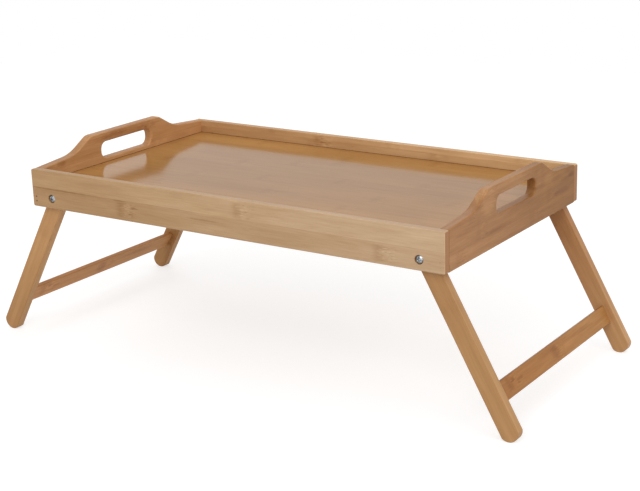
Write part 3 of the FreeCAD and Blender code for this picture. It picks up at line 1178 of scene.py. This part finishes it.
@dataclass
class Studio:
    """Pale floor, white surround and soft lamps."""

    floor_half: float = 1.6
    floor_cells: int = 4
    floor_grey: float = 0.82
    floor_seen: float = 0.50
    floor_lift: float = 0.64
    surround: float = 0.62

    def build(self) -> None:
        """Makes the floor, the world and the lamps."""
        cells, rows = self.floor_cells, self.floor_cells + 1
        edge = np.linspace(-self.floor_half, self.floor_half, rows)
        x, y = np.meshgrid(edge, edge, indexing="ij")
        points = np.stack([x, y, np.zeros_like(x)], axis=-1).reshape(-1, 3)
        i, j = np.indices((cells, cells)).reshape(2, -1)
        first = i * rows + j
        faces = np.stack([first, first + rows, first + rows + 1, first + 1], axis=-1)
        mesh = bpy.data.meshes.new("pale_floor")
        mesh.from_pydata(points.tolist(), [], faces.tolist())
        mesh.materials.append(self.floor_material())
        floor = add_object("pale_floor", mesh)
        self.world()
        for lamp in LAMPS:
            lamp.build()

    def seen(self, graph: Graph) -> Term:
        """Tells the rays that see the background from those that light the object.

        Args:
            graph: the graph that asks.

        Returns:
            1 for rays from the camera, off gloss or through glass, else 0.
        """
        camera = graph.node("ShaderNodeLightPath", {}, {}, out="Is Camera Ray")
        rays = camera.socket.node.outputs
        gloss, glass = (Term(graph, rays[f"Is {kind} Ray"]) for kind in ("Glossy", "Transmission"))
        return (camera + gloss + glass).least(1.0)

    def floor_material(self) -> bpy.types.Material:
        """Makes the floor's material.

        Returns:
            White to the camera where nothing shades it, and grey to all other light.
        """
        material, g = new_material("floor_paper")
        paper = g.node("ShaderNodeBsdfDiffuse", {}, {"Color": (self.floor_grey,) * 3})
        thin = g.node("ShaderNodeBsdfDiffuse", {}, {"Color": (self.floor_seen,) * 3})
        glow = g.node("ShaderNodeEmission", {}, {"Color": WHITE, "Strength": self.floor_lift})
        both = g.node("ShaderNodeAddShader", {}, {0: thin, 1: glow})
        g.finish(g.node("ShaderNodeMixShader", {}, {0: self.seen(g), 1: paper, 2: both}))
        return material

    def world(self) -> None:
        """White behind everything, and a softer white as light."""
        world = bpy.data.worlds.new("surround")
        world.use_nodes = True
        bpy.context.scene.world = world
        g = Graph(world.node_tree)
        light, white = (g.node("ShaderNodeBackground", {}, {"Color": WHITE, "Strength": strength})
                        for strength in (self.surround, 1.0))
        g.finish(g.node("ShaderNodeMixShader", {}, {0: self.seen(g), 1: light, 2: white}),
                 "ShaderNodeOutputWorld")


@dataclass(frozen=True)
class PhotoCamera:
    """Stands where the photograph was taken from."""

    place: Point = (0.84716, -1.21301, 0.55663)
    azimuth: float = 32.2358
    elevation: float = 17.0207
    roll: float = -1.2058
    lens: float = 81.579
    shift: float = -0.078125

    def build(self) -> None:
        """Makes the camera the scene's own."""
        a, e, r = (math.radians(v) for v in (self.azimuth, self.elevation, self.roll))
        back = Vector((math.sin(a) * math.cos(e), -math.cos(a) * math.cos(e), math.sin(e)))
        right = Vector((math.cos(a), math.sin(a), 0.0))
        up = back.cross(right)
        right, up = (right * math.cos(r) + up * math.sin(r),
                     up * math.cos(r) - right * math.sin(r))
        data = bpy.data.cameras.new("photo_camera")
        data.lens, data.shift_x, data.sensor_width = self.lens, self.shift, 36.0
        data.clip_start, data.clip_end = 0.05, 50.0
        camera = add_object("photo_camera", data)
        turn = Matrix((right, up, back)).transposed().to_4x4()
        camera.matrix_world = Matrix.Translation(self.place) @ turn
        bpy.context.scene.camera = camera


def main() -> None:
    """Builds the pieces in order, then the studio and the camera, and logs the pieces' names."""
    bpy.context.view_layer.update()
    # The left stretcher is painted paler than the right one: painted light, lifting a face that the
    # lamps leave in shade.
    left = LegPair("left", 71.5, front=(paint(170, 125, 77), paint(184, 138, 88)),
                   back=(paint(170, 123, 73), paint(172, 124, 74)),
                   bar=(paint(200, 144, 88), paint(202, 148, 94)))
    right = LegPair("right", 93.8, front=(paint(169, 126, 80), paint(162, 119, 74)),
                    back=(paint(182, 138, 93), paint(164, 114, 69)),
                    bar=(paint(160, 107, 54), paint(169, 119, 66)))
    for part in (Tray(), left, right, CornerNails()):
        log.info("%s: %s", type(part).__name__, ", ".join(part.build()))
    steel = Steel().dress("zinc_plate", 2.0)
    washer_steel = Steel(roughness=0.34).dress("washer_zinc", 9.0)
    nylon = Nylon().dress("lock_ring_nylon")
    for corner in CORNERS:
        hardware = PivotHardware(corner, steel, washer_steel, nylon)
        log.info("PivotHardware: %s", ", ".join(hardware.build()))
    Studio().build()
    PhotoCamera().build()
    bpy.context.scene.view_settings.view_transform = "Standard"


if __name__ == "__main__":
    main()
